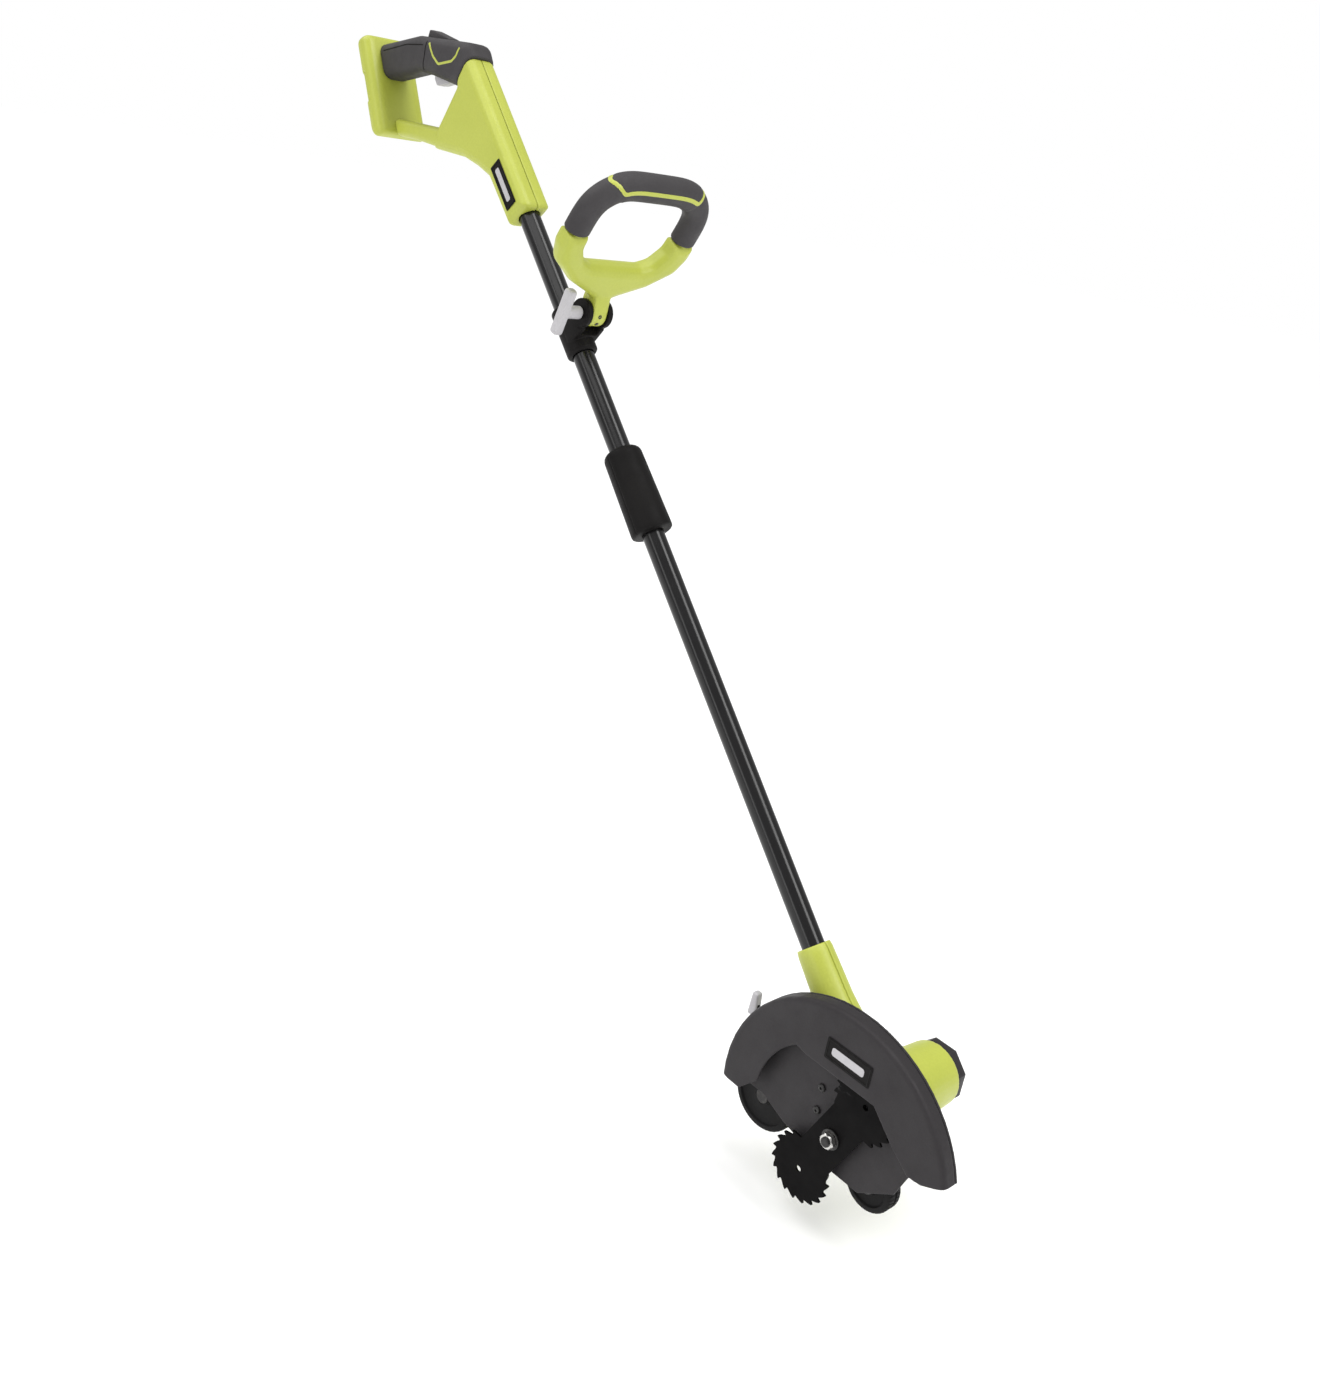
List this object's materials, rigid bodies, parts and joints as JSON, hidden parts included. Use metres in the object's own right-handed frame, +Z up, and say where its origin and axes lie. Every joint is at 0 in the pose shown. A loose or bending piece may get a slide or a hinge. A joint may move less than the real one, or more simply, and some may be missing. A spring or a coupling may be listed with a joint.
{
  "type": "lawn edger",
  "caption": "Upright cordless lawn edger: long split shaft, rear D grip with battery dock, front loop handle, geared motor, guarded blade and depth wheels.",
  "frame": {"origin": "middle of the rear grip, where the hand holds it", "axes": "+X ahead of the user towards the head, +Y to the user's left, +Z up, with the shaft leaning 45 degrees"},
  "size_m": [1.2534, 0.186, 1.0462],
  "materials": {
    "lime_plastic": "satin moulded plastic",
    "grey_overmould": "soft-touch moulded cover",
    "black_plastic": "fine moulded texture",
    "shaft_paint": "gloss black powder coat",
    "light_grey_plastic": "satin",
    "steel": "zinc plated",
    "blade_coating": "black coated steel",
    "motor_copper": "wound copper",
    "circuit_board": "circuit board",
    "wheel_rubber": "matt"
  },
  "bodies": {
    "frame": {"arm_bolt": "steel", "battery_dock": "lime_plastic", "bearing_front": "steel", "bearing_rear": "steel", "control_board": "circuit_board", "coupler_sleeve": "black_plastic", "depth_sector": "black_plastic", "dock_terminals": "black_plastic", "front_axle": "steel", "gear_plate": "steel", "grip_cover": "grey_overmould", "guard_back_plate": "grey_overmould", "guard_label": "black_plastic", "guard_screw_1": "steel", "guard_screw_2": "steel", "guard_shell": "grey_overmould", "handle_label": "black_plastic", "handle_screw_1": "steel", "handle_screw_2": "steel", "handle_screw_3": "steel", "handle_shell_left": "lime_plastic", "handle_shell_right": "lime_plastic", "housing_left": "lime_plastic", "housing_right": "lime_plastic", "joiner_pin_lower": "steel", "joiner_pin_upper": "steel", "lower_tube": "shaft_paint", "motor_can": "steel", "motor_end_cap": "grey_overmould", "motor_lead": "black_plastic", "motor_magnet": "black_plastic", "plate_screw_1": "steel", "plate_screw_2": "steel", "plate_screw_3": "steel", "trigger_pin": "steel", "trigger_spring": "steel", "trigger_switch": "black_plastic", "tube_joiner": "steel", "upper_tube": "shaft_paint"},
    "trigger": {"trigger": "light_grey_plastic"},
    "lockout": {"lockout_button": "grey_overmould"},
    "clamp": {"clamp_collar": "black_plastic", "pivot_bolt": "steel"},
    "knob": {"wing_knob": "light_grey_plastic"},
    "loop_handle": {"loop_base": "lime_plastic", "loop_grip": "grey_overmould", "loop_screw": "steel"},
    "cutter": {"spindle": "steel", "drive_gear": "steel", "blade_flange": "steel", "blade": "blade_coating", "blade_washer": "steel", "blade_nut": "steel"},
    "motor_rotor": {"rotor": "motor_copper", "pinion": "steel"},
    "front_wheel": {"front_wheel": "wheel_rubber"},
    "depth_arm": {"depth_arm": "black_plastic", "depth_knob": "light_grey_plastic", "rear_axle": "steel"},
    "rear_wheel": {"rear_wheel": "wheel_rubber"}
  },
  "joints": [
    {"name": "trigger_pull", "type": "hinge", "parent": "frame", "child": "trigger", "pos_m": [0.105, 0, -0.0115], "axis": [0, 1, 0], "range_deg": [0, 7], "stiffness_Nm_per_rad": 1, "springref_deg": -8.59},
    {"name": "lockout_press", "type": "slide", "parent": "frame", "child": "lockout", "axis": [0, 0, -1], "range_m": [0, 0.003], "stiffness_N_per_m": 300, "springref_m": -0.004},
    {"name": "clamp_slide", "type": "slide", "parent": "frame", "child": "clamp", "axis": [-0.7071, 0, 0.7071], "range_m": [-0.05, 0.04]},
    {"name": "loop_tilt", "type": "hinge", "parent": "clamp", "child": "loop_handle", "pos_m": [0.42144, 0, -0.2397], "axis": [0, 1, 0], "range_deg": [-30, 25]},
    {"name": "knob_turn", "type": "hinge", "parent": "clamp", "child": "knob", "pos_m": [0.42144, 0, -0.2397], "axis": [0, 1, 0], "continuous": true},
    {"name": "blade_spin", "type": "hinge", "parent": "frame", "child": "cutter", "pos_m": [1.038, 0, -0.9185], "axis": [0, 1, 0], "continuous": true},
    {"name": "rotor_spin", "type": "hinge", "parent": "frame", "child": "motor_rotor", "pos_m": [1.04544, 0, -0.89073], "axis": [0, 1, 0], "continuous": true},
    {"name": "front_wheel_spin", "type": "hinge", "parent": "frame", "child": "front_wheel", "pos_m": [1.079, 0, -0.953], "axis": [0, 1, 0], "continuous": true},
    {"name": "depth_adjust", "type": "hinge", "parent": "frame", "child": "depth_arm", "pos_m": [1.005, 0, -0.937], "axis": [0, 1, 0], "range_deg": [-12, 12]},
    {"name": "rear_wheel_spin", "type": "hinge", "parent": "depth_arm", "child": "rear_wheel", "pos_m": [0.935, 0, -0.947], "axis": [0, 1, 0], "continuous": true}
  ],
  "couplings": [
    {"joint": "rotor_spin", "follows": "blade_spin", "ratio": -4}
  ]
}
